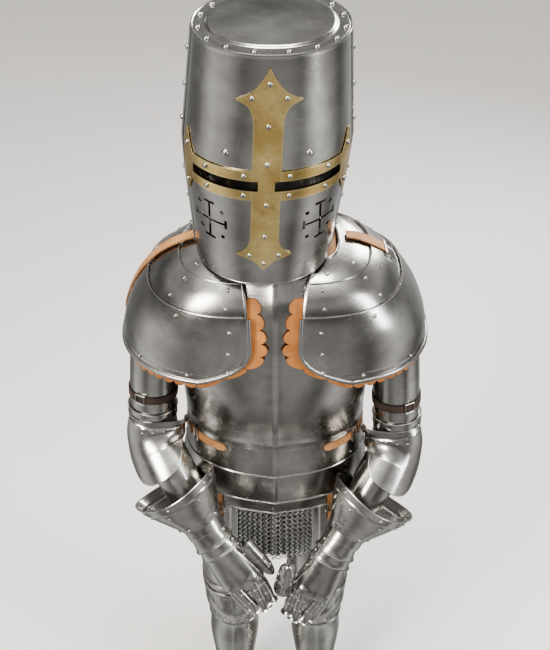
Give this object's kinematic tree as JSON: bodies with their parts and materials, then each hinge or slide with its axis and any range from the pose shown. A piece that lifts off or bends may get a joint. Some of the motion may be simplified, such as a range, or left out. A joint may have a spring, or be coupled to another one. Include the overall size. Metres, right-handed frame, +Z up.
{
  "type": "suit of plate armour",
  "caption": "Standing suit of plate armour with great helm, pauldrons, gauntlets and mail skirt, hollow, hands held together in front.",
  "frame": {"origin": "middle of the suit's footprint box, at floor level under the soles", "axes": "+Z up; the suit faces -Y; +X is the wearer's left"},
  "size_m": [0.5582, 0.4374, 1.8871],
  "materials": {
    "steel": "hand polished steel plate with a soft brushed grain and darker edges",
    "brass": "brushed brass sheet, lightly tarnished",
    "tan_leather": "vegetable tanned strap leather, fine grain",
    "sole_leather": "dark sole leather, matt and worn",
    "mail": "linked steel rings, dull"
  },
  "bodies": {
    "root": {"helm_top": "steel", "helm_upper_front": "steel", "helm_lower_front": "steel", "helm_upper_back": "steel", "helm_lower_back": "steel", "helm_cross": "brass", "breastplate": "steel", "backplate": "steel", "fauld_lame_1": "steel", "fauld_lame_2": "steel", "fauld_lame_3": "steel", "culet": "steel", "mail_skirt": "mail", "tasset_l": "steel", "tasset_r": "steel", "waist_strap_l": "tan_leather", "waist_strap_r": "tan_leather", "shoulder_strap_l": "tan_leather", "shoulder_strap_r": "tan_leather", "pauldron_main_l": "steel", "pauldron_main_r": "steel", "pauldron_lame_mid_l": "steel", "pauldron_lame_mid_r": "steel", "pauldron_lame_upper_l": "steel", "pauldron_lame_upper_r": "steel", "pauldron_lining_l": "tan_leather", "pauldron_lining_r": "tan_leather", "rerebrace_r": "steel", "couter_r": "steel", "vambrace_r": "steel", "gauntlet_cuff_r": "steel", "wrist_lame_upper_r": "steel", "wrist_lame_lower_r": "steel", "hand_plate_r": "steel", "finger_plates_r": "steel", "thumb_plate_r": "steel", "rerebrace_l": "steel", "couter_l": "steel", "vambrace_l": "steel", "gauntlet_cuff_l": "steel", "wrist_lame_upper_l": "steel", "wrist_lame_lower_l": "steel", "hand_plate_l": "steel", "finger_plates_l": "steel", "thumb_plate_l": "steel", "cuisse_l": "steel", "cuisse_r": "steel", "knee_lame_l": "steel", "knee_lame_r": "steel", "poleyn_l": "steel", "poleyn_r": "steel", "greave_l": "steel", "greave_r": "steel", "sabaton_l": "steel", "sabaton_r": "steel", "sole_l": "sole_leather", "sole_r": "sole_leather", "helm_strap_tongue": "tan_leather", "helm_strap_buckle": "tan_leather"}
  },
  "joints": []
}
